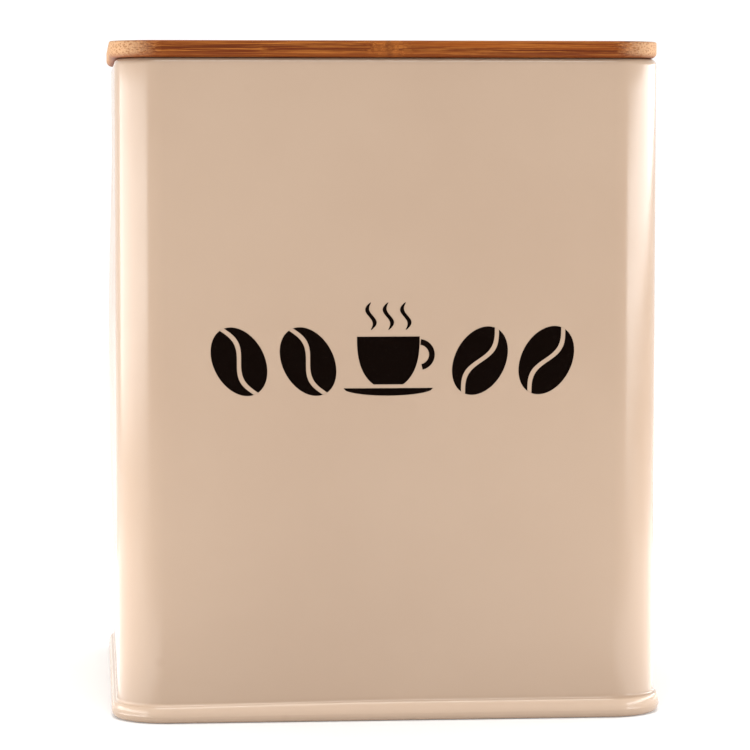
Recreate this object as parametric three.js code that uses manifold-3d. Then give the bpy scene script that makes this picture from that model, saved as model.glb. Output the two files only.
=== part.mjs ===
// A square kitchen canister for coffee. A steel sheet is wrapped into a tube with round corners,
// rolled in at the rim and double seamed onto a pressed base. The loose lid is laminated bamboo:
// a board of strips laid left to right, glued to a cross-grained plug that carries a silicone seal.
// Millimetres, +Z up, the front faces -Y, and the origin is under the middle of the base.
import * as THREE from 'three';
import { mergeVertices } from 'three/addons/utils/BufferGeometryUtils.js';
import Module from 'manifold-3d';

const wasm = await Module();
wasm.setup();

// The canister's body.
const bodyWidth = 110; // left to right, over the wall's flat faces
const bodyDepth = 110; // front to back
const bodyHeight = 133.4; // from the table to the top of the rim
const cornerRadius = 10; // of the wall's outer face
const sheet = 0.28; // thickness of the steel
const crown = 1.25; // how far the middle of each wall bellies out
const crownEase = 4; // plain wall left between the belly and the seam or the rim
const rimRadius = 1.3; // outside of the roll at the rim
const rimTurn = 270; // degrees that the rim is rolled through
const lockWidth = 5; // the flat lock that joins the sheet's two ends, inside at the back

// The double seam that joins the wall to the base.
const seamHeight = 3.6;
const seamGap = 0.1; // between one layer of steel and the next
const seamBend = 0.2; // radius of the wall's own fold, on its middle line
const hookRoom = 0.7; // from the wall's folded edge up to the inside of the base's curl
const curlRoom = 0.25; // from the base's folded edge down to the inside of the wall's fold

// The pressed base.
const panelHeight = 3.8; // of the panel's middle line above the table
const panelBend = 0.6;
const panelStep = 0.8; // the middle of the panel is pressed down by this much
const panelStepInset = 8;
const panelStepRun = 1.2;

// The lid.
const lidGap = 0.05; // between the board and the rim that it rests on
const overhang = 0.6; // of the board beyond the wall
const boardShift = -0.5; // the board is glued on this far from the middle of the plug
const boardThickness = 3.35;
const boardTopEase = 0.4; // rounding of the board's upper edge
const boardUnderEase = 1.2; // rounding of its lower edge
const boardStrips = 7;
const plugThickness = 6.4;
const plugClearance = 1.4; // between the plug and the rolled rim
const plugChamfer = 0.8;
const plugStrips = 6;
const glueLine = 0.1;

// The seal in the rebate round the plug's upper edge.
const rebateDepth = 2;
const rebateHeight = 2.7;
const sealPlay = 0.1; // between the seal and the rebate
const finClearance = 0.2; // between the fins and the rolled rim
const finRoot = 0.6;
const finTip = 0.35;
const finRise = 0.25; // how much higher a fin's tip is than its root

// How finely round shapes are drawn.
const cornerSteps = 6;
const sideSteps = 4;
const crownSteps = 6;
const bendSteps = 3;
const rimSteps = 12;
const leastRadius = 0.5; // of a corner far inside the wall

const enamel = new THREE.MeshStandardMaterial({ color: 0xe6cfb2, roughness: 0.25, metalness: 0 });
const bamboo = new THREE.MeshStandardMaterial({ color: 0xb4713a, roughness: 0.55, metalness: 0 });
const paleBamboo = new THREE.MeshStandardMaterial({ color: 0xc08a52, roughness: 0.6, metalness: 0 });
const silicone = new THREE.MeshStandardMaterial({ color: 0xe9e6df, roughness: 0.45, metalness: 0 });
const sealant = new THREE.MeshStandardMaterial({ color: 0x8c8a86, roughness: 0.8, metalness: 0 });

// The share of the crown at a height: none beside the seam and the rim, all of it half way up.
const crownLow = seamHeight + crownEase;
const crownHigh = bodyHeight - 2 * rimRadius - crownEase;
function crownAt(z) {
  const share = THREE.MathUtils.clamp((z - crownLow) / (crownHigh - crownLow), 0, 1);
  return crown * Math.sin(Math.PI * share) ** 1.5;
}

// The rounded square that lies `inset` inside the wall's outer face, as points anticlockwise.
// `belly` is the way the crown pushes a point, at full length in the middle of a side.
function outline(inset, steps) {
  const radius = Math.max(cornerRadius - inset, leastRadius);
  const x = bodyWidth / 2 - inset - radius;
  const y = bodyDepth / 2 - inset - radius;
  const centres = [[x, -y], [x, y], [-x, y], [-x, -y]];
  const arcs = centres.map(([cx, cy], i) => {
    const start = (i - 1) * Math.PI / 2;
    return new THREE.EllipseCurve(cx, cy, radius, radius, start, start + Math.PI / 2);
  });
  const points = [];
  arcs.forEach((arc, i) => {
    for (const place of arc.getPoints(cornerSteps)) points.push({ place, belly: new THREE.Vector2() });
    const side = new THREE.LineCurve(arc.getPoint(1), arcs[(i + 1) % 4].getPoint(0));
    const out = new THREE.Vector2(Math.cos(i * Math.PI / 2), Math.sin(i * Math.PI / 2));
    for (let k = 1; k < steps; k++) {
      const share = Math.sin(Math.PI * k / steps) ** 2;
      points.push({ place: side.getPoint(k / steps), belly: out.clone().multiplyScalar(share) });
    }
  });
  return points;
}

// Sweeps a section of [inset, height] points round the canister. A closed section makes a ring;
// an open one starts and ends at the middle, where it is capped.
function sweep(section, { closed = true, steps = 1, crowned = false } = {}) {
  const positions = [];
  const rings = section.map(([inset, z]) => outline(inset, steps));
  rings.forEach((ring, i) => {
    const z = section[i][1];
    const push = crowned ? crownAt(z) : 0;
    for (const { place, belly } of ring) {
      positions.push(place.x + belly.x * push, place.y + belly.y * push, z);
    }
  });
  const around = rings[0].length;
  const index = [];
  const last = closed ? rings.length : rings.length - 1;
  for (let i = 0; i < last; i++) {
    for (let k = 0; k < around; k++) {
      const a = i * around + k;
      const b = i * around + (k + 1) % around;
      const c = ((i + 1) % rings.length) * around + k;
      const d = ((i + 1) % rings.length) * around + (k + 1) % around;
      index.push(a, b, c, b, d, c);
    }
  }
  if (!closed) {
    const first = positions.length / 3;
    positions.push(0, 0, section[0][1], 0, 0, section.at(-1)[1]);
    const end = (rings.length - 1) * around;
    for (let k = 0; k < around; k++) {
      index.push(first, (k + 1) % around, k);
      index.push(first + 1, end + k, end + (k + 1) % around);
    }
  }
  const geometry = new THREE.BufferGeometry();
  geometry.setAttribute('position', new THREE.Float32BufferAttribute(positions, 3));
  geometry.setIndex(index);
  return geometry;
}

// Points on an arc of the section, in degrees from +inset towards +height.
function bend(inset, z, radius, from, to, steps = bendSteps) {
  const [a, b] = [from, to].map(THREE.MathUtils.degToRad);
  const curve = new THREE.EllipseCurve(inset, z, radius, radius, a, b, b < a);
  return curve.getPoints(steps).map((p) => [p.x, p.y]);
}

// Both faces of a folded sheet whose middle line is given, with its cut edges closed.
function folded(line) {
  const points = line.map(([a, b]) => new THREE.Vector2(a, b));
  const face = (side) => points.map((p, i) => {
    const before = points[Math.max(i - 1, 0)];
    const after = points[Math.min(i + 1, points.length - 1)];
    const into = i > 0 ? p.clone().sub(before).normalize() : after.clone().sub(p).normalize();
    const away = i < points.length - 1 ? after.clone().sub(p).normalize() : into.clone();
    const mitre = into.clone().add(away).normalize();
    const reach = side * sheet / 2 / mitre.dot(into);
    return [p.x - mitre.y * reach, p.y + mitre.x * reach];
  });
  return [...face(1), ...face(-1).reverse()];
}

// The inset of each layer of steel in the seam, counted outwards from the wall: the base's inner
// wall is -1, the wall 0, the base's folded edge 1, the wall's hook 2 and the base's outer wall 3.
const layer = (count) => sheet / 2 - count * (sheet + seamGap);
const seamFoot = sheet / 2; // middle line of the lowest layer
const hookTip = seamHeight - sheet - hookRoom;
const curlTip = 2 * sheet + seamGap + curlRoom;

function solid(geometry) {
  const bare = geometry.clone().deleteAttribute('normal').deleteAttribute('uv');
  const merged = mergeVertices(bare, 1e-4);
  const mesh = new wasm.Mesh({
    numProp: 3,
    vertProperties: new Float32Array(merged.attributes.position.array),
    triVerts: new Uint32Array(merged.index.array),
  });
  return new wasm.Manifold(mesh);
}

function geometryOf(made) {
  const mesh = made.getMesh();
  const geometry = new THREE.BufferGeometry();
  geometry.setAttribute('position', new THREE.Float32BufferAttribute(mesh.vertProperties, 3));
  geometry.setIndex(new THREE.Uint32BufferAttribute(mesh.triVerts, 1));
  return geometry;
}

function part(name, geometry, material) {
  geometry.computeVertexNormals();
  const mesh = new THREE.Mesh(geometry, material);
  mesh.name = name;
  return mesh;
}

// The wall: hooked outwards and up inside the seam, and rolled inwards at the rim. The lock that
// closes it is three layers of sheet thick: the box makes the inner two and reaches into the outer.
function makeWall() {
  const foot = seamFoot + sheet + seamGap + seamBend;
  const rimCentre = bodyHeight - rimRadius;
  const line = [
    [layer(2), hookTip],
    ...bend(layer(2) + seamBend, foot, seamBend, 180, 270),
    ...bend(layer(0) - seamBend, foot, seamBend, 270, 360),
  ];
  for (let i = 0; i <= crownSteps; i++) {
    line.push([layer(0), THREE.MathUtils.lerp(crownLow, crownHigh, i / crownSteps)]);
  }
  line.push(...bend(rimRadius, rimCentre, rimRadius - sheet / 2, 180, 180 - rimTurn, rimSteps));
  const wall = sweep(folded(line), { steps: sideSteps, crowned: true });

  const lock = new THREE.BoxGeometry(lockWidth, 2.5 * sheet, crownHigh - crownLow, 1, 1, crownSteps);
  lock.translate(0, bodyDepth / 2 - 1.75 * sheet, (crownLow + crownHigh) / 2);
  const places = lock.attributes.position;
  for (let i = 0; i < places.count; i++) places.setY(i, places.getY(i) + crownAt(places.getZ(i)));
  return part('wall', geometryOf(solid(wall).add(solid(lock))), enamel);
}

// The base: a stepped panel, a wall inside the body, and an edge curled over the wall's hook.
function makeBase() {
  const nest = seamBend + sheet + seamGap; // the base bends round the wall's fold
  const foot = seamFoot + nest;
  const top = seamHeight - sheet / 2;
  const curl = (layer(1) - layer(3)) / 2;
  const inner = panelStepInset + panelStepRun;
  const line = [
    [inner, panelHeight - panelStep],
    [panelStepInset, panelHeight],
    ...bend(layer(-1) + panelBend, panelHeight - panelBend, panelBend, 90, 180),
    ...bend(layer(-1) - nest, foot, nest, 360, 270),
    ...bend(layer(3) + nest, foot, nest, 270, 180),
    ...bend(layer(2), top - curl, curl, 180, 0, 2 * bendSteps),
    [layer(1), curlTip],
  ];
  return part('base_plate', sweep(folded(line), { closed: false }), enamel);
}

// The sealing compound squeezed above the wall's hook, inside the seam.
function makeSealant() {
  const low = hookTip + seamGap;
  const top = hookTip + hookRoom - 2 * seamGap;
  const [outer, inner] = [layer(2) - sheet / 2, layer(2) + sheet / 2];
  return part('seam_sealant', sweep([[outer, low], [outer, top], [inner, top], [inner, low]]), sealant);
}

// Cuts a board into strips that lie side by side along one axis, a glue line apart.
function cutStrips(board, width, count, axis, name, material) {
  const pitch = width / count;
  const whole = solid(board);
  const long = 2 * (bodyWidth + bodyDepth);
  return Array.from({ length: count }, (_, i) => {
    const size = [long, long, long];
    size[axis] = pitch - glueLine;
    const middle = new THREE.Vector3().setComponent(axis, (i + 0.5) * pitch - width / 2);
    const cutter = new THREE.BoxGeometry(...size).translate(...middle);
    const geometry = geometryOf(whole.intersect(solid(cutter))).translate(...middle.clone().negate());
    const strip = part(`${name}_${i + 1}`, geometry, material);
    strip.position.copy(middle);
    return strip;
  });
}

// The lid is drawn with its own zero at the underside of the board, where it meets the rim.
const plugInset = 2 * rimRadius + plugClearance;

function makeBoard() {
  const [under, top] = [boardUnderEase, boardTopEase];
  const section = [
    ...bend(under - overhang, under, under, 270, 180),
    ...bend(top - overhang, boardThickness - top, top, 180, 90),
  ];
  const board = sweep(section, { closed: false }).translate(boardShift, 0, 0);
  return cutStrips(board, bodyDepth + 2 * overhang, boardStrips, 1, 'board_strip', bamboo);
}

function makePlug() {
  const top = -glueLine;
  const low = top - plugThickness;
  const lip = -rebateHeight;
  const section = [
    [plugInset + plugChamfer, low],
    [plugInset, low + plugChamfer],
    [plugInset, lip],
    [plugInset + rebateDepth, lip],
    [plugInset + rebateDepth, top],
  ];
  const plug = sweep(section, { closed: false });
  return cutStrips(plug, bodyWidth - 2 * plugInset, plugStrips, 0, 'plug_strip', paleBamboo);
}

function makeSeal() {
  const inner = plugInset + rebateDepth - sealPlay;
  const low = sealPlay - rebateHeight;
  const top = -sealPlay;
  const tip = 2 * rimRadius + finClearance;
  const fin = (z) => [
    [plugInset, z - finRoot / 2],
    [tip, z + finRise - finTip / 2],
    [tip, z + finRise + finTip / 2],
    [plugInset, z + finRoot / 2],
  ];
  const quarter = (top - low) / 4;
  const section = [
    [inner, low], [plugInset, low],
    ...fin(low + quarter), ...fin(top - quarter),
    [plugInset, top], [inner, top],
  ];
  return part('seal', sweep(section), silicone);
}

const canister = new THREE.Group();
canister.add(makeWall(), makeBase(), makeSealant());

const lid = new THREE.Group();
lid.position.z = bodyHeight + lidGap;
lid.add(...makeBoard(), ...makePlug(), makeSeal());
canister.add(lid);

export default canister;
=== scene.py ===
import math

import bmesh
import bpy
import numpy as np
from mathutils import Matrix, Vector, noise


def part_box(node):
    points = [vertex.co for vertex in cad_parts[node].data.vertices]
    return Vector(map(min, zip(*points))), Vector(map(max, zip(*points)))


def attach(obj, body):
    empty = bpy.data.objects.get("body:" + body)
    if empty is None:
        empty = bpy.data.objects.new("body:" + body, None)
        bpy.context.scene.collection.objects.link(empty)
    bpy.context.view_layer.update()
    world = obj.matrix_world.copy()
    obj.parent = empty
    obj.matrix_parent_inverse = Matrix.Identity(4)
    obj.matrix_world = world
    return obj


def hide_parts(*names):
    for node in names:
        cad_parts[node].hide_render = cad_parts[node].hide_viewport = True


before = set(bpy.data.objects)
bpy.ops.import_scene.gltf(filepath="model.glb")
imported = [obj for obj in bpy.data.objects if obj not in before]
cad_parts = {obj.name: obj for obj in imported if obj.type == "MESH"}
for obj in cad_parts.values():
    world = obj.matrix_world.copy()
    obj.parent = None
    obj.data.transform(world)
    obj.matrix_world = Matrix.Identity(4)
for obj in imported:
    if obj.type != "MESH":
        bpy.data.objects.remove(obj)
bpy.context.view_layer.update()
mm = 0.001


# A part's lowest and highest corner in the frame, in millimetres.
def boxOf(name):
    return [np.array(corner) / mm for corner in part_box(name)]


def boxesOf(kind, count):
    return [boxOf(f"{kind}_{i + 1}") for i in range(count)]


wallBox = boxOf("wall")
baseBox = boxOf("base_plate")
sealBox = boxOf("seal")
boardBoxes = boxesOf("board_strip", 7)    # from front to back
plugBoxes = boxesOf("plug_strip", 6)      # from left to right
print("frame loaded:", len(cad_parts), "parts")

# The tin as a whole. Its steel is drawn with the paint on, and the seam stands seamReach proud.
tin = {
    "cornerRadius": 10,
    "leastRadius": 0.5,       # where a corner lies far inside
    "sheet": 0.36,
    "sheetGap": 0.02,
    "seamReach": 1.14,
    "seamHeight": 3.6,
    "cornerSteps": 16,
    "sideSteps": 24,
}
half = baseBox[1][0] - tin["seamReach"]    # from the middle to the wall's flat outer face
rimTop = wallBox[1][2]


# A rounded square, `inset` inside the wall's face, anticlockwise from the front right corner.
# Each row is x, y, the way out, and the share of the wall's belly there.
def squareRing(inset, backStops=()):
    reach = half - inset
    radius = max(tin["cornerRadius"] - inset, tin["leastRadius"])
    flat = reach - radius
    evenStops = [flat * (2 * k / tin["sideSteps"] - 1) for k in range(1, tin["sideSteps"])]
    rows = []
    for turn in range(4):
        out = np.array([(1, 0), (0, 1), (-1, 0), (0, -1)][turn])
        along = np.array([-out[1], out[0]])
        for angle in np.linspace(-math.pi / 2, 0, tin["cornerSteps"] + 1):
            way = out * math.cos(angle) + along * math.sin(angle)
            rows.append([*((out - along) * flat + way * radius), *way, 0])
        stops = sorted([*evenStops, *backStops]) if turn == 1 else evenStops
        for stop in stops:
            belly = math.cos(math.pi * stop / (2 * flat)) ** 2
            rows.append([*(out * reach + along * stop), *out, belly])
    return np.array(rows)


# A section's points on an arc, in degrees from +inset towards +height.
def arc(inset, height, radius, start, end, steps=8):
    angles = np.radians(np.linspace(start, end, steps + 1))
    return [(inset + radius * math.cos(a), height + radius * math.sin(a)) for a in angles]


# A section's corners, each eased with a short curve. The ends of an open section stay.
def eased(corners, radius, closed=False, steps=4):
    points = [np.array(corner, float) for corner in corners]
    made = []
    for i, corner in enumerate(points):
        if not closed and i in (0, len(points) - 1):
            made.append(corner)
            continue
        before = points[i - 1] - corner
        after = points[(i + 1) % len(points)] - corner
        reach = min(radius, np.linalg.norm(before) * 0.45, np.linalg.norm(after) * 0.45)
        start = corner + before / np.linalg.norm(before) * reach
        end = corner + after / np.linalg.norm(after) * reach
        for t in np.linspace(0, 1, steps + 1):
            made.append((1 - t) ** 2 * start + 2 * t * (1 - t) * corner + t ** 2 * end)
    return made


# The two faces of a sheet folded along a middle line.
def facesOf(line, thickness):
    points = [np.array(p, float) for p in line]
    faces = []
    for side in (1, -1):
        face = []
        for i, point in enumerate(points):
            before = points[max(i - 1, 0)]
            after = points[min(i + 1, len(points) - 1)]
            ways = [w / np.linalg.norm(w) for w in (point - before, after - point) if w.any()]
            mitre = ways[0] + ways[-1]
            mitre /= np.linalg.norm(mitre)
            reach = side * thickness / 2 / mitre.dot(ways[0])
            face.append((point[0] - mitre[1] * reach, point[1] + mitre[0] * reach))
        faces.append(face)
    return faces


# Closes a mesh's normals outwards, smooths it, and keeps creases over an angle sharp.
def settle(mesh, sharpAngle=38):
    work = bmesh.new()
    work.from_mesh(mesh)
    bmesh.ops.recalc_face_normals(work, faces=work.faces)
    work.to_mesh(mesh)
    work.free()
    mesh.shade_smooth()
    mesh.set_sharp_from_angle(angle=math.radians(sharpAngle))
    return mesh


# A skin over rings of points in millimetres. An open loft is capped at its first and last ring.
def loft(name, rings, closed=True):
    count = len(rings[0])
    faces = []
    for i in range(len(rings) if closed else len(rings) - 1):
        low = i * count
        high = (i + 1) % len(rings) * count
        for k in range(count):
            after = (k + 1) % count
            faces.append((low + k, low + after, high + after, high + k))
    if not closed:
        last = (len(rings) - 1) * count
        faces += [tuple(range(count)), tuple(range(last, last + count))]
    mesh = bpy.data.meshes.new(name)
    mesh.from_pydata(np.concatenate(rings) * mm, [], faces)
    return settle(mesh)


# A section of [inset, height] points taken round the tin.
def sweep(name, section, closed=True):
    rings = []
    for inset, height in section:
        ring = squareRing(inset)
        rings.append(np.column_stack([ring[:, 0], ring[:, 1], np.full(len(ring), height)]))
    return loft(name, rings, closed)


def addPiece(name, mesh, material, body, slot, *stoodFor):
    piece = bpy.data.objects.new(name, mesh)
    bpy.context.scene.collection.objects.link(piece)
    mesh.materials.clear()
    mesh.materials.append(material)
    if stoodFor:
        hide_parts(*stoodFor)
    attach(piece, body)


# A socket that takes part in arithmetic: each operator adds its Math node.
class Wire:
    def __init__(self, finish, socket):
        self.finish = finish
        self.socket = socket

    def math(self, operation, *values):
        return self.finish.node("ShaderNodeMath", {"operation": operation}, dict(enumerate(values)))

    def __add__(self, other):
        return self.math("ADD", self, other)

    def __radd__(self, other):
        return self.math("ADD", other, self)

    def __sub__(self, other):
        return self.math("SUBTRACT", self, other)

    def __rsub__(self, other):
        return self.math("SUBTRACT", other, self)

    def __mul__(self, other):
        return self.math("MULTIPLY", self, other)

    def __rmul__(self, other):
        return self.math("MULTIPLY", other, self)

    def __truediv__(self, other):
        return self.math("DIVIDE", self, other)

    def __abs__(self):
        return self.math("ABSOLUTE", self)

    def floor(self):
        return self.math("FLOOR", self)

    def fraction(self):
        return self.math("FRACT", self)

    def rise(self, low, high):
        # 0 up to low and 1 from high, with a soft step between
        values = {0: self, 1: low, 2: high}
        return self.finish.node("ShaderNodeMapRange", {"interpolation_type": "SMOOTHSTEP"}, values)

    def fall(self, low, high):
        return 1 - self.rise(low, high)


# One material and the nodes that make it. Keywords are values that are the same all over.
class Finish:
    def __init__(self, name, colour, roughness, **uniform):
        self.material = bpy.data.materials.new(name)
        self.material.use_nodes = True
        self.material.diffuse_color = (*colour, 1)
        self.shader = self.material.node_tree.nodes["Principled BSDF"]
        self.feed("Base Color", (*colour, 1))
        self.feed("Roughness", roughness)
        for socket, value in uniform.items():
            self.feed(socket.replace("_", " "), value)

    def join(self, socket, value):
        if isinstance(value, Wire):
            self.material.node_tree.links.new(value.socket, socket)
        else:
            socket.default_value = value

    def feed(self, socket, value):
        self.join(self.shader.inputs[socket], value)

    def node(self, kind, settings=None, values=None, out=0):
        made = self.material.node_tree.nodes.new(kind)
        for key, value in (settings or {}).items():
            setattr(made, key, value)
        for key, value in (values or {}).items():
            self.join(made.inputs[key], value)
        return Wire(self, made.outputs[out])

    def mix(self, share, first, second, how="MIX"):
        settings = {"data_type": "RGBA", "blend_type": how}
        first, second = (c if isinstance(c, Wire) else (*c, 1) for c in (first, second))
        return self.node("ShaderNodeMix", settings, {0: share, 6: first, 7: second}, 2)

    def place(self):
        # the point of the surface, in millimetres
        here = self.node("ShaderNodeTexCoord", out="Object")
        settings = {"operation": "SCALE"}
        return self.node("ShaderNodeVectorMath", settings, {0: here, "Scale": 1 / mm})

    def split(self, vector):
        made = self.node("ShaderNodeSeparateXYZ", None, {0: vector})
        return [Wire(self, output) for output in made.socket.node.outputs]

    def vector(self, x, y, z):
        return self.node("ShaderNodeCombineXYZ", None, {0: x, 1: y, 2: z})

    def noise(self, at, scale, detail=2.0, roughness=0.5):
        values = {"Vector": at, "Scale": scale, "Detail": detail, "Roughness": roughness}
        return self.node("ShaderNodeTexNoise", None, values)

    def cells(self, at, scale, out="Distance"):
        return self.node("ShaderNodeTexVoronoi", None, {"Vector": at, "Scale": scale}, out)

    def chance(self, value):
        # a number from 0 to 1 that belongs to a whole number
        return self.node("ShaderNodeTexWhiteNoise", {"noise_dimensions": "1D"}, {"W": value}, "Value")

    def bump(self, height, depth):
        return self.node("ShaderNodeBump", None, {"Height": height, "Distance": depth * mm})


# Gloss cream enamel: broad drift of tone, fine orange peel, a few specks and some faint blots, and
# painted light on the seam's bead.
enamel = {
    "colour": (0.424, 0.303, 0.215),
    "warmer": (0.41, 0.29, 0.204),
    "beadPaintedLight": (0.555, 0.408, 0.3),    # painted light: the seam's bead is paler, most near its top, where light from above falls on it
    "beadFrom": (0, 2.8),                # heights between which the painted light comes and goes
    "beadTo": (3.5, 4.1),
    "roughness": (0.16, 0.24),
    "driftScale": 0.018,
    "smearScale": 0.06,
    "peelWidth": 1.6,
    "peelDepth": 0.004,
    "speck": (0.20, 0.11, 0.06),
    "speckEvery": 9.0,
    "speckLuck": (0.86, 0.9),            # how lucky a cell has to be to get its speck
    "speckRadius": 0.16,
    "speckStrength": 0.75,
    "blotEvery": 23.0,
    "blotRadius": 1.6,
    "blotStrength": 0.1,
}


def makeEnamel():
    e = enamel
    f = Finish("creamEnamel", e["colour"], e["roughness"][0], IOR=1.5)
    at = f.place()
    drift = f.noise(at, e["driftScale"], 3).rise(0.35, 0.65)
    colour = f.mix(drift, e["warmer"], e["colour"])
    height = f.split(at)[2]
    # painted light: the bead turns paler from the table up towards its top, where light from above
    # catches it
    paintedLightOnBead = height.rise(*e["beadFrom"]) * height.fall(*e["beadTo"])
    colour = f.mix(paintedLightOnBead, colour, e["beadPaintedLight"])
    spots = f.cells(at, 1 / e["speckEvery"]) * e["speckEvery"]
    picked = f.split(f.cells(at, 1 / e["speckEvery"], "Color"))[0].rise(*e["speckLuck"])
    speck = picked * spots.fall(e["speckRadius"] * 0.6, e["speckRadius"])
    colour = f.mix(speck * e["speckStrength"], colour, e["speck"])
    blots = f.cells(at, 1 / e["blotEvery"]) * e["blotEvery"]
    blot = blots.fall(0, e["blotRadius"])
    colour = f.mix(blot * e["blotStrength"], colour, e["speck"])
    f.feed("Base Color", colour)
    smear = f.noise(at, e["smearScale"], 4, 0.6)
    low, high = e["roughness"]
    f.feed("Roughness", low + (high - low) * smear.rise(0.3, 0.8))
    peel = f.noise(at, 1 / e["peelWidth"], 2, 0.45)
    f.feed("Normal", f.bump(peel - speck * 1.5, e["peelDepth"]))
    return f.material


# Black print on the enamel: a little matter, with pinholes and a faint grain.
ink = {
    "colour": (0.003, 0.0012, 0.0006),
    "worn": (0.014, 0.009, 0.006),
    "wornScale": 2.4,
    "wornStrength": 0.6,
    "roughness": 0.34,
    "wornRoughness": 0.12,    # how much rougher where it is worn
    "shine": 0.02,
    "grainScale": 3.0,
    "grainDepth": 0.004,
}


def makeInk():
    f = Finish("blackInk", ink["colour"], ink["roughness"], Specular_IOR_Level=ink["shine"])
    at = f.place()
    worn = f.noise(at, ink["wornScale"], 4, 0.65).rise(0.55, 0.8)
    f.feed("Base Color", f.mix(worn * ink["wornStrength"], ink["colour"], ink["worn"]))
    f.feed("Roughness", ink["roughness"] + worn * ink["wornRoughness"])
    f.feed("Normal", f.bump(f.noise(at, ink["grainScale"], 3), ink["grainDepth"]))
    return f.material


# Bamboo as a solid. Bundles of fibre run along the grain: streaks on the long faces, dots on the
# ends, which are paler, partly as end grain and partly as a painted highlight. `grain` and `across`
# are 0 for x or 1 for y, and strips lie side by side along `across`.
board = {
    "name": "carbonisedBamboo",
    "middle": (0.24, 0.056, 0.006),
    "deep": (0.11, 0.019, 0.002),
    "pale": (0.40, 0.135, 0.021),
    "bundle": (0.08, 0.014, 0.002),
    # the ends: end grain's own paler tone, lightened further as a painted highlight
    "end": (0.52, 0.31, 0.165),
    "dot": (0.22, 0.085, 0.025),
    "knot": (0.38, 0.125, 0.022),
    "roughness": 0.42,
    "shine": 0.12,
    "grain": 0,
    "across": 1,
    "firstKnot": 0.4955,      # where the first strip has its knot, as a share of its length
    "shadedEdge": 1.3,        # how high the painted shade along the lower edge reaches, and how dark it is
    "shade": 0.6,
}
plug = {
    "name": "paleBamboo",
    "middle": (0.56, 0.31, 0.14),
    "deep": (0.46, 0.22, 0.08),
    "pale": (0.62, 0.38, 0.195),
    "bundle": (0.26, 0.095, 0.026),
    "dot": (0.34, 0.17, 0.08),
    "end": (0.62, 0.38, 0.19),
    "knot": (0.50, 0.24, 0.09),
    "roughness": 0.55,
    "shine": 0.12,
    "grain": 1,
    "across": 0,
    "firstKnot": 0.22,
    "shadedEdge": 0.9,
    "shade": 0.15,
}
bundles = {
    "spacing": 0.62,
    "endSpacing": 0.45,       # closer on the end grain, where each one is seen
    "radius": 0.36,
    "length": 110,            # how much longer than wide a streak is
    "fineScale": 4.6,
    "lineScale": 7,
    "lineStrength": 0.7,
    "sway": 0.9,              # how far the fibres stray, and at which scales along and across
    "swayScale": (0.02, 0.05),
    "knotStep": 0.618,        # from one strip's knot to the next one's, as a share of the length
    "knotWidth": 5.5,
    "knotStrength": 0.3,
    "ridgeStrength": 0.4,
    "waver": 2,               # the same two for the fibres at a knot
    "waverScale": (0.33, 0.4),
    "dotStrength": 0.7,
    "endGrainAndHighlightStrength": 0.9,
    "apart": (17.3, 5.1),     # side and height from one strip's bundles to the next one's
    "tones": (0.86, 0.26),    # the darkest strip, and how much lighter the lightest is
    "relief": 0.03,
}


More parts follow.
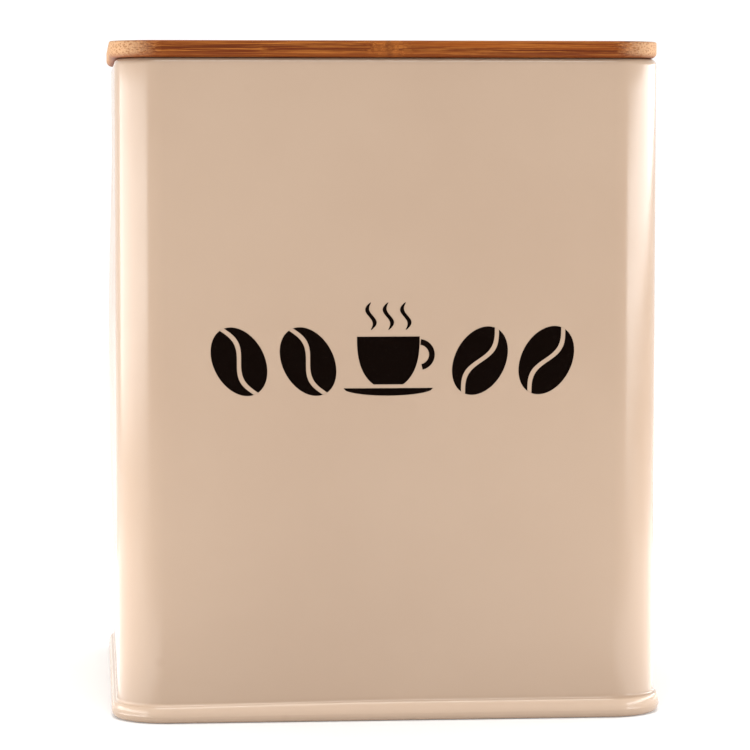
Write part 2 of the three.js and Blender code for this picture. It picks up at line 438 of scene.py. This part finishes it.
def makeBamboo(look, boxes):
    b = bundles
    f = Finish(look["name"], look["middle"], look["roughness"], Specular_IOR_Level=look["shine"])
    at = f.split(f.place())
    start = boxes[0][0][look["across"]]
    width = boxes[1][0][look["across"]] - start
    strip = ((at[look["across"]] - start) / width).floor()
    luck = f.chance(strip + 3)
    along = at[look["grain"]]
    side = at[look["across"]] + strip * b["apart"][0]
    up = at[2] + strip * b["apart"][1]

    # where the culm had a knot the fibres waver
    span = 2 * half
    knotPlace = ((strip * b["knotStep"] + look["firstKnot"]).fraction() - 0.5) * span
    nearKnot = abs(along - knotPlace).fall(0, b["knotWidth"])
    long, wide = b["swayScale"]
    sway = (f.noise(f.vector(along * long, side * wide, up * wide), 1, 3) - 0.5) * 2 * b["sway"]
    long, wide = b["waverScale"]
    waver = (f.noise(f.vector(along * long, side * wide, up * wide), 1, 2) - 0.5) * 2 * b["waver"]
    waver = waver * nearKnot
    shift = sway + waver
    side = side + shift
    up = up + shift * 0.6

    # streaks along the grain, and the dots that they end in
    streakPlace = f.vector(along / b["length"], side, up)
    bundlePlace = f.vector(along / b["length"] * 1.3, side / b["spacing"], up / b["spacing"])
    bundle = f.cells(bundlePlace, 1).fall(b["radius"] * 0.5, b["radius"] * 1.3)
    fine = f.noise(streakPlace, b["fineScale"], 4, 0.75)
    linePlace = f.vector(along / b["length"] * 0.6, side * 0.9, up * 1.1)
    lines = f.noise(linePlace, b["lineScale"], 2, 0.6)
    broad = f.noise(f.vector(along * 0.012, side * 0.16, up * 0.5), 1, 2)
    facing = abs(f.split(f.node("ShaderNodeTexCoord", out="Normal"))[look["grain"]])
    # the ends' paler tone is partly end grain and partly a painted highlight on the rounded ends
    ends = (facing + (fine - 0.5) * 0.6).rise(0.02, 0.85)
    endPlace = f.vector(along / b["length"] * 3, side / b["endSpacing"], up / b["endSpacing"])
    endBundle = f.cells(endPlace, 1).fall(b["radius"] * 0.6, b["radius"] * 1.5)

    # from the wood's own tone to its streaks, its knot, its paler ends with their painted highlight, and
    # the painted shade along its lower edge
    colour = f.mix(broad.rise(0.35, 0.65), look["deep"], look["middle"])
    colour = f.mix(fine.rise(0.42, 0.68), colour, look["pale"])
    colour = f.mix(lines.fall(0.3, 0.52) * b["lineStrength"], colour, look["deep"])
    colour = f.mix(nearKnot * b["knotStrength"], colour, look["knot"])
    ridge = abs(along + waver * 0.4 - knotPlace).fall(0.1, 0.8)
    colour = f.mix(ridge * b["ridgeStrength"], colour, look["bundle"])
    strength = 0.3 + 0.45 * fine.fall(0.35, 0.6)
    colour = f.mix(bundle * strength, colour, look["bundle"])
    endGrainAndHighlightColour = f.mix(endBundle * b["dotStrength"], look["end"], look["dot"])
    colour = f.mix(ends * b["endGrainAndHighlightStrength"], colour, endGrainAndHighlightColour)
    # painted shade: the lower edge and underside are darkened towards the deep tone
    low = (at[2] - boxes[0][0][2]).fall(0.1, look["shadedEdge"])
    colour = f.mix(low * look["shade"], colour, look["deep"])
    tone = b["tones"][0] + b["tones"][1] * luck
    colour = f.mix(1, colour, f.vector(tone, tone, tone), "MULTIPLY")
    f.feed("Base Color", colour)
    f.feed("Roughness", look["roughness"] + 0.14 * fine + 0.12 * ends - 0.06 * bundle)
    f.feed("Normal", f.bump(fine * 0.6 + bundle * 0.8, b["relief"]))
    return f.material


# Milky silicone, a little dusty.
silicone = {
    "colour": (0.62, 0.61, 0.57),
    "dust": (0.48, 0.44, 0.385),
    "dustScale": 0.8,
    "dustStrength": 0.35,
    "roughness": 0.38,
    "dustRoughness": 0.3,     # how much rougher where dust lies
    "depth": (0.9, 0.85, 0.8),
    "milkiness": 0.35,
    "rippleScale": 2.2,
    "rippleDepth": 0.012,
}


def makeSilicone():
    s = silicone
    f = Finish("milkySilicone", s["colour"], s["roughness"], IOR=1.41,
               Subsurface_Weight=s["milkiness"], Subsurface_Radius=s["depth"], Subsurface_Scale=mm)
    at = f.place()
    dust = f.noise(at, s["dustScale"], 5, 0.7).rise(0.52, 0.75)
    f.feed("Base Color", f.mix(dust * s["dustStrength"], s["colour"], s["dust"]))
    f.feed("Roughness", s["roughness"] + dust * s["dustRoughness"])
    f.feed("Normal", f.bump(f.noise(at, s["rippleScale"], 2), s["rippleDepth"]))
    return f.material


sealing = {
    "colour": (0.26, 0.25, 0.235),
    "pale": (0.36, 0.35, 0.33),
    "roughness": 0.75,
    "lumpShine": 0.15,        # how much smoother the lumps are
    "lumpScale": 1.5,
    "lumpHeight": 0.08,
}


# Matt grey compound, dried lumpy.
def makeSealing():
    f = Finish("sealingCompound", sealing["colour"], sealing["roughness"])
    at = f.place()
    lumps = f.noise(at, sealing["lumpScale"], 4, 0.6)
    f.feed("Base Color", f.mix(lumps, sealing["colour"], sealing["pale"]))
    f.feed("Roughness", sealing["roughness"] - sealing["lumpShine"] * lumps)
    f.feed("Normal", f.bump(lumps, sealing["lumpHeight"]))
    return f.material


enamelFinish = makeEnamel()
inkFinish = makeInk()
boardFinish = makeBamboo(board, boardBoxes)
plugFinish = makeBamboo(plug, plugBoxes)
siliconeFinish = makeSilicone()
sealingFinish = makeSealing()
print("finishes made")


# Layers of steel in the seam, counted outwards: the base's inner wall is -1, the wall 0, the
# base's folded edge 1, the wall's hook 2 and the base's outer wall 3.
def layer(count):
    return tin["sheet"] / 2 - count * (tin["sheet"] + tin["sheetGap"])


foldRadius = 0.2
seamFoot = tin["sheet"] / 2
hookTip = 2.6

wall = {
    "crown": 1.15,        # how far the middle of each side bellies out
    "crownEase": 4,       # plain wall next to the seam and the rim
    "wave": 0.04,         # slack in the sheet
    "waveLength": 34,
    "waveFade": 12,
    "rimRadius": 1.3,
    "rimTurn": 270,
    "lockWidth": 5,
    "lockRise": 0.62,
    "lockEdge": 0.25,
    "grooveWidth": 0.3,
    "grooveDepth": 0.14,
    "lockFade": 2,        # the lock flattens out over this height at both ends
    "crownSteps": 44,
}
crownLow = tin["seamHeight"] + wall["crownEase"]
crownHigh = rimTop - 2 * wall["rimRadius"] - wall["crownEase"]


# 1 on the middle of the sheet, falling to 0 at the seam and at the rim.
def middleShare(height, fade):
    return min(max((height - crownLow) / fade, 0), 1) * min(max((crownHigh - height) / fade, 0), 1)


def crownAt(height):
    share = min(max((height - crownLow) / (crownHigh - crownLow), 0), 1)
    return wall["crown"] * math.sin(math.pi * share) ** 1.5


# How far the sheet stands out of a plain tube at a point: its belly and its slack.
def swell(x, y, height, belly):
    slack = noise.noise(Vector((x, y, height)) / wall["waveLength"])
    return crownAt(height) * belly + wall["wave"] * slack * middleShare(height, wall["waveFade"])


# The flat lock down the back: three layers that rise inside, and one fine groove outside.
def lockAt(x, y, height, inside):
    if y < 0 or abs(x) > wall["lockWidth"]:
        return 0
    free = middleShare(height, wall["lockFade"])
    edge = wall["lockWidth"] / 2
    if inside:
        return wall["lockRise"] * free * min(max((edge - abs(x)) / wall["lockEdge"], 0), 1)
    return wall["grooveDepth"] * free * max(1 - abs(x - edge) / (wall["grooveWidth"] / 2), 0)


# The wall is one sheet: the hook in the seam, the side, and the rim rolled inwards.
def makeWall():
    foot = seamFoot + tin["sheet"] + tin["sheetGap"] + foldRadius
    rim = wall["rimRadius"]
    line = [(layer(2), hookTip)]
    line += arc(layer(2) + foldRadius, foot, foldRadius, 180, 270, 5)
    line += arc(layer(0) - foldRadius, foot, foldRadius, 270, 360, 5)
    line += [(layer(0), height) for height in np.linspace(crownLow, crownHigh, wall["crownSteps"] + 1)]
    line += arc(rim, rimTop - rim, rim - tin["sheet"] / 2, 180, 180 - wall["rimTurn"], 28)
    edge = wall["lockWidth"] / 2
    steps = [k * wall["grooveWidth"] / 2 for k in (-2, -1, 0, 1, 2)]
    stops = [side * (edge + step) for side in (-1, 1) for step in steps]    # columns beside the lock
    rings = []
    outer, inner = facesOf(line, tin["sheet"])
    for inside, face in ((False, outer), (True, inner[::-1])):
        for inset, height in face:
            points = []
            for x, y, outX, outY, belly in squareRing(inset, stops):
                out = swell(x, y, height, belly) - lockAt(x, y, height, inside)
                points.append((x + outX * out, y + outY * out, height))
            rings.append(np.array(points))
    addPiece("rolled_wall", loft("rolled_wall", rings), enamelFinish, "tin", "enamel", "wall")


base = {
    "panelHeight": 3.76,
    "panelBend": 0.6,
    "panelStep": 0.8,
    "panelStepInset": 8,
    "panelStepRun": 1.2,
    "panelRings": (54, 50, 44, 36, 27, 18, 12),
    "dentDepth": 0.05,
    "dentWidth": 30,
    "dentSlice": 120,         # which slice of the noise dents the panel
    "foldTip": 1.0,           # how low the folded edge reaches inside the bead
    "footRound": 1.2,         # rounding of the bead's lower outer edge
    "shoulderIn": 0.69,       # the bead's upper edge: how far in and down its rounding reaches
    "shoulderDown": 1.9,
    "bulge": 0.05,
    "fillet": 0.55,           # paint that has run into the corner above the bead
    "leftDrop": -0.3,         # the bead is rolled unevenly: its top is lower on the left
    "rightLift": 0.35,
    "leanRun": 60,            # the lean runs out this far from the left side
}


# The bead's outer face, from the table up to the wall.
def beadSkin():
    edge, top = -tin["seamReach"], tin["seamHeight"]
    foot, into, down, fillet = (base[k] for k in ("footRound", "shoulderIn", "shoulderDown", "fillet"))
    points = arc(edge + foot, foot, foot, 270, 180)
    for share in (0.25, 0.5, 0.75):
        height = foot + (top - down - foot) * share
        points.append((edge - base["bulge"] * math.sin(math.pi * share), height))
    for angle in np.radians(np.linspace(180, 90, 9)):
        points.append((edge + into * (1 + math.cos(angle)), top - down + down * math.sin(angle)))
    run = -tin["sheetGap"] - edge - into
    for angle in np.radians(np.linspace(270, 360, 7)[1:]):
        points.append((edge + into + run * math.cos(angle), top + fillet * (1 + math.sin(angle))))
    return points


# The base is one sheet: its panel, down inside the wall, round under it, up the bead and over.
def makeBase():
    nest = foldRadius + tin["sheet"] + tin["sheetGap"]
    foot = seamFoot + nest
    top = tin["seamHeight"] - tin["sheet"] / 2
    curl = (layer(1) - layer(3)) / 2
    panel = base["panelHeight"]
    low = panel - base["panelStep"]
    stepOut = base["panelStepInset"]
    stepIn = stepOut + base["panelStepRun"]
    inside = [(inset, low) for inset in base["panelRings"]]
    inside += eased([(stepIn + 1.5, low), (stepIn, low), (stepOut, panel), (stepOut - 1.5, panel)], 0.7)
    inside += arc(layer(-1) + base["panelBend"], panel - base["panelBend"], base["panelBend"], 90, 180)
    inside += arc(layer(-1) - nest, foot, nest, 360, 270)
    outside = arc(layer(3) + nest, foot, nest, 270, 180)
    outside += arc(layer(2), top - curl, curl, 180, 0, 14)
    outside += [(layer(1), base["foldTip"])]
    under, above = facesOf(inside + outside, tin["sheet"])
    under = under[:len(inside)] + beadSkin() + under[-1:]
    rings = []
    for inset, height in [*under, *above[::-1]]:
        points = []
        for x, y in squareRing(inset)[:, :2]:
            share = min(max((x + half) / base["leanRun"], 0), 1)
            share = share ** 2 * (3 - 2 * share)
            lean = base["leftDrop"] * (1 - share) + base["rightLift"] * share
            lift = lean * height / tin["seamHeight"] if inset < 0.1 else 0
            slack = noise.noise(Vector((x, y, base["dentSlice"])) / base["dentWidth"])
            dent = base["dentDepth"] * slack if inset > stepIn else 0
            points.append((x, y, height + lift + dent))
        rings.append(np.array(points))
    mesh = loft("seamed_base", rings, closed=False)
    addPiece("seamed_base", mesh, enamelFinish, "tin", "enamel", "base_plate")


sealant = {"gap": 0.04, "thickness": 0.2, "ease": 0.07}


# The ring of compound that lies on the hook's tip, inside the seam.
def makeSealant():
    outer, inner = layer(2) - tin["sheet"] / 2, layer(2) + tin["sheet"] / 2
    low = hookTip + sealant["gap"]
    high = low + sealant["thickness"]
    corners = [(outer, low), (outer, high), (inner, high), (inner, low)]
    mesh = sweep("sealing_ring", eased(corners, sealant["ease"], closed=True))
    addPiece("sealing_ring", mesh, sealingFinish, "tin", "sealant", "seam_sealant")


makeWall()
makeBase()
makeSealant()
print("tin made")

# A printed emblem across the front: coffee beans on both sides of a steaming cup. Places are
# [across, up] on the front, in millimetres.
emblem = {
    "foot": 65.9,
    "height": 13.8,
    "depth": 0.03,
    "beanPlaces": (-30.5, -16.7, 17.9, 31.4),
    "beanHalfWidth": 5.1,
    "beanHalfLength": 7.3,
    "beanTilts": (28, 28, -28, -28),
    "creaseWidth": 0.95,
    "creaseSwing": 1.25,
    "cupMiddle": -0.6,
    "cupHalfWidth": 6.3,
    "cupHeight": 9.6,
    "handleRadius": 3.1,
    "handleWidth": 1.15,
    "saucerHalfWidth": 9.0,
    "saucerDepth": 1.5,
    "saucerGap": 0.75,
    "steamHeight": 5.6,
    "steamWidth": 0.95,
    "steamGap": 1.3,
    "steamApart": 3.5,
    "steamSwing": 0.75,
}


# A thin shell on the front of the wall, ruled between two edges that run side by side.
def printBetween(work, left, right, across=6):
    flat = half - tin["cornerRadius"]
    grids = []
    for proud in (emblem["depth"], -0.004):
        grid = []
        for start, end in zip(left, right):
            row = []
            for t in np.linspace(0, 1, across + 1):
                x, height = np.array(start) * (1 - t) + np.array(end) * t
                belly = math.cos(math.pi * x / (2 * flat)) ** 2
                y = -half - swell(x, -half, height, belly) - proud
                row.append(work.verts.new(Vector((x, y, height)) * mm))
            grid.append(row)
        grids.append(grid)
    front, back = grids
    rows = len(left)
    for i in range(rows - 1):
        for k in range(across):
            work.faces.new((front[i][k], front[i][k + 1], front[i + 1][k + 1], front[i + 1][k]))
            work.faces.new((back[i][k], back[i + 1][k], back[i + 1][k + 1], back[i][k + 1]))
        for k in (0, across):
            work.faces.new((front[i][k], front[i + 1][k], back[i + 1][k], back[i][k]))
    for i in (0, rows - 1):
        for k in range(across):
            work.faces.new((front[i][k], front[i][k + 1], back[i][k + 1], back[i][k]))


def printBean(work, middle, tilt):
    e = emblem
    turn = math.radians(tilt)
    centre = np.array([middle, e["foot"] + e["height"] / 2])
    spin = np.array([[math.cos(turn), -math.sin(turn)], [math.sin(turn), math.cos(turn)]])
    for side in (-1, 1):
        outline, crease = [], []
        for t in np.linspace(0, math.pi, 45):
            along = e["beanHalfLength"] * math.cos(t)
            out = side * e["beanHalfWidth"] * math.sin(t)
            swing = e["creaseSwing"] * math.sin(math.pi * along / e["beanHalfLength"])
            inner = swing + side * e["creaseWidth"] / 2
            if side * (out - inner) < 0:
                inner = out
            outline.append(centre + spin @ (out, along))
            crease.append(centre + spin @ (inner, along))
        printBetween(work, outline, crease)


def printCup(work):
    e = emblem
    middle = e["cupMiddle"]
    low = e["foot"] + e["saucerDepth"] + e["saucerGap"]
    left, right = [], []
    for t in np.linspace(0, 1, 25):
        width = e["cupHalfWidth"] * math.sqrt(1 - 0.78 * (1 - t) ** 2.6)
        left.append((middle - width, low + t * e["cupHeight"]))
        right.append((middle + width, low + t * e["cupHeight"]))
    printBetween(work, left, right, 10)

    handle = (middle + e["cupHalfWidth"] * 0.99, low + e["cupHeight"] * 0.62)
    outer, inner = [], []
    for angle in np.radians(np.linspace(-78, 84, 31)):
        way = np.array([math.cos(angle), math.sin(angle)])
        outer.append(handle + way * e["handleRadius"])
        inner.append(handle + way * (e["handleRadius"] - e["handleWidth"]))
    printBetween(work, outer, inner, 2)

    upper, lower = [], []
    for x in np.linspace(-1, 1, 41):
        dip = e["saucerDepth"] * math.sqrt(max(1 - x ** 2, 0))
        upper.append((middle + x * e["saucerHalfWidth"], e["foot"] + e["saucerDepth"]))
        lower.append((middle + x * e["saucerHalfWidth"], e["foot"] + e["saucerDepth"] - dip))
    printBetween(work, upper, lower, 2)

    for wisp in (-1, 0, 1):
        left, right = [], []
        for t in np.linspace(0, 1, 31):
            x = middle + wisp * e["steamApart"] + e["steamSwing"] * math.sin(2 * math.pi * t)
            height = low + e["cupHeight"] + e["steamGap"] + t * e["steamHeight"]
            width = e["steamWidth"] / 2 * math.sin(math.pi * t) ** 0.55
            left.append((x - width, height))
            right.append((x + width, height))
        printBetween(work, left, right, 2)


def makeEmblem():
    work = bmesh.new()
    for middle, tilt in zip(emblem["beanPlaces"], emblem["beanTilts"]):
        printBean(work, middle, tilt)
    printCup(work)
    bmesh.ops.remove_doubles(work, verts=work.verts, dist=0.001 * mm)
    bmesh.ops.dissolve_degenerate(work, edges=work.edges, dist=0.0005 * mm)
    mesh = bpy.data.meshes.new("printed_emblem")
    work.to_mesh(mesh)
    work.free()
    addPiece("printed_emblem", settle(mesh, 50), inkFinish, "tin", "print")


makeEmblem()
print("emblem printed")


# The stretch of a solid between two planes across x (0) or y (1), with its cut edges eased.
def cutBetween(name, mesh, axis, low, high, ease=0.05):
    work = bmesh.new()
    work.from_mesh(mesh)
    fresh = []
    for place, side in ((low, -1), (high, 1)):
        point, way = Vector(), Vector()
        point[axis] = place * mm
        way[axis] = side
        every = [*work.verts, *work.edges, *work.faces]
        cut = bmesh.ops.bisect_plane(work, geom=every, dist=1e-8, plane_co=point, plane_no=way,
                                     clear_outer=True)
        edges = [g for g in cut["geom_cut"] if isinstance(g, bmesh.types.BMEdge)]
        if edges:
            bmesh.ops.edgeloop_fill(work, edges=edges)
            fresh += edges
    bmesh.ops.bevel(work, geom=fresh, offset=ease * mm, segments=2, profile=0.5, affect="EDGES")
    made = bpy.data.meshes.new(name)
    work.to_mesh(made)
    work.free()
    return settle(made, 40)


glueSpread = 0.03    # each strip reaches this much past its part, so that only a hairline is left


# Cuts a solid into glued strips, where the frame has them.
def makeStrips(name, mesh, boxes, axis, material, slot, node):
    for i, (low, high) in enumerate(boxes):
        strip = cutBetween(f"{name}_{i + 1}", mesh, axis, low[axis] - glueSpread, high[axis] + glueSpread)
        addPiece(f"{name}_{i + 1}", strip, material, "lid", slot, f"{node}_{i + 1}")
    bpy.data.meshes.remove(mesh)


boardShape = {"topEase": 0.4, "underEase": 1.2}


# The board's section runs from inside its lower face, round its edge, to inside its upper face.
def makeBoard():
    under, top = boardShape["underEase"], boardShape["topEase"]
    lowest = boardBoxes[0][0][2]
    back, highest = boardBoxes[-1][1][1:]
    overhang = back - half
    section = [(5, lowest), (2.5, lowest)]
    section += arc(under - overhang, lowest + under, under, 270, 180, 10)
    section += arc(top - overhang, highest - top, top, 180, 90, 6)
    section += [(2, highest), (5, highest)]
    mesh = sweep("board", section, closed=False)
    shift = (boardBoxes[0][0][0] + boardBoxes[0][1][0]) / 2
    for vert in mesh.vertices:
        vert.co.x += shift * mm
    makeStrips("lid_board", mesh, boardBoxes, 1, boardFinish, "bamboo", "board_strip")


plugShape = {"chamfer": 0.8, "rebateDepth": 2, "rebateHeight": 2.7, "ease": 0.2}
lidZero = boardBoxes[0][0][2]
plugInset = half - plugBoxes[0][1][1]


# The plug's section runs the same way, with the rebate that holds the seal.
def makePlug():
    low, top = plugBoxes[0][0][2], plugBoxes[0][1][2]
    lip = lidZero - plugShape["rebateHeight"]
    cut, back = plugShape["chamfer"], plugInset + plugShape["rebateDepth"]
    section = [(plugInset + 4, low)]
    section += eased([(plugInset + cut + 1.5, low), (plugInset + cut, low), (plugInset, low + cut),
                      (plugInset, lip), (back, lip), (back, top), (back + 1.5, top)], plugShape["ease"])
    section += [(plugInset + 6, top)]
    mesh = sweep("plug", section, closed=False)
    makeStrips("lid_plug", mesh, plugBoxes, 0, plugFinish, "pale_bamboo", "plug_strip")


sealShape = {"play": 0.1, "finRoot": 0.6, "finTip": 0.35, "finRise": 0.25, "ease": 0.16}


# A flat ring with two fins that rise a little outwards.
def makeSeal():
    s = sealShape
    low, top = sealBox[0][2], sealBox[1][2]
    inner = plugInset + plugShape["rebateDepth"] - s["play"]
    tip = half - sealBox[1][0]
    quarter = (top - low) / 4
    section = [(inner, low), (plugInset, low)]
    for height in (low + quarter, top - quarter):
        section += [
            (plugInset, height - s["finRoot"] / 2),
            (tip, height + s["finRise"] - s["finTip"] / 2),
            (tip, height + s["finRise"] + s["finTip"] / 2),
            (plugInset, height + s["finRoot"] / 2),
        ]
    section += [(plugInset, top), (inner, top)]
    mesh = sweep("lid_seal", eased(section, s["ease"], closed=True))
    addPiece("lid_seal", mesh, siliconeFinish, "lid", "silicone", "seal")


makeBoard()
makePlug()
makeSeal()
print("lid made")

# A white bowl all round for floor and backdrop, soft panels, and the camera. In metres and degrees.
studio = {
    "radius": 2.4,
    "bend": 0.6,
    "height": 2.4,
    "sides": 96,
    "bendSteps": 12,
    "paper": (0.8, 0.8, 0.8),
    "glow": 0.13,
    "sky": (1.0, 1.0, 1.0),
    "skyStrength": 0.36,
    "exposure": 0.0,
}
panels = {
    "left": {"place": (-0.5, -0.14, 0.085), "size": (0.85, 0.13), "turn": (90, 0, -90), "watts": 1.8},
    "right": {"place": (0.5, -0.03, 0.12), "size": (1.05, 0.09), "turn": (90, -6.5, 90), "watts": 2.4},
    "leftTable": {"place": (-0.19, 0.0, 0.002), "size": (0.25, 0.34), "turn": (180, 0, 0), "watts": 0.46},
    "rightTable": {"place": (0.19, 0.0, 0.002), "size": (0.25, 0.34), "turn": (180, 0, 0), "watts": 0.42},
    "above": {"place": (-0.1, -0.7, 1.6), "size": (1.0, 0.8), "turn": (25, 0, -4), "watts": 17},
    "behind": {"place": (0.0, 0.5, 1.5), "size": (1.4, 0.6), "turn": (52, 0, 0), "watts": 18},
}
lens = {"place": (-0.0599, -0.7297, 0.1182), "down": 4.074, "right": 4.804, "length": 162.4}


def makeStudio():
    f = Finish("whitePaper", studio["paper"], 0.9, Emission_Strength=studio["glow"])
    f.feed("Emission Color", (1, 1, 1, 1))
    radius, bend, sides = studio["radius"], studio["bend"], studio["sides"]
    profile = [(0.02, 0), (radius - bend, 0)]
    for angle in np.radians(np.linspace(-90, 0, studio["bendSteps"] + 1))[1:]:
        profile.append((radius - bend + bend * math.cos(angle), bend + bend * math.sin(angle)))
    profile.append((radius, studio["height"]))
    work = bmesh.new()
    for reach, height in profile:
        for turn in np.linspace(0, 2 * math.pi, sides + 1)[:-1]:
            work.verts.new((reach * math.cos(turn), reach * math.sin(turn), height - 0.05 * mm))
    work.verts.ensure_lookup_table()
    for i in range(len(profile) - 1):
        for k in range(sides):
            low, high, after = i * sides, (i + 1) * sides, (k + 1) % sides
            work.faces.new([work.verts[n] for n in (low + k, low + after, high + after, high + k)])
    work.faces.new(work.verts[:sides])
    mesh = bpy.data.meshes.new("bowl")
    work.to_mesh(mesh)
    work.free()
    mesh.shade_smooth()
    mesh.materials.append(f.material)
    bowl = bpy.data.objects.new("bowl", mesh)
    bpy.context.scene.collection.objects.link(bowl)

    world = bpy.data.worlds.new("sky")
    world.use_nodes = True
    sky = world.node_tree.nodes["Background"]
    sky.inputs["Color"].default_value = (*studio["sky"], 1)
    sky.inputs["Strength"].default_value = studio["skyStrength"]
    bpy.context.scene.world = world
    bpy.context.scene.view_settings.view_transform = "Standard"
    bpy.context.scene.view_settings.exposure = studio["exposure"]


def makePanels():
    for name, panel in panels.items():
        light = bpy.data.lights.new(name, "AREA")
        light.shape = "RECTANGLE"
        light.size, light.size_y = panel["size"]
        light.energy = panel["watts"]
        lamp = bpy.data.objects.new(name, light)
        lamp.location = panel["place"]
        lamp.rotation_euler = [math.radians(a) for a in panel["turn"]]
        lamp.visible_camera = False
        bpy.context.scene.collection.objects.link(lamp)


def makeCamera():
    camera = bpy.data.objects.new("camera", bpy.data.cameras.new("camera"))
    camera.data.lens = lens["length"]
    camera.data.sensor_width = 36
    camera.location = lens["place"]
    camera.rotation_euler = [math.radians(a) for a in (90 - lens["down"], 0, -lens["right"])]
    bpy.context.scene.collection.objects.link(camera)
    bpy.context.scene.camera = camera


makeStudio()
makePanels()
makeCamera()
print("studio made")
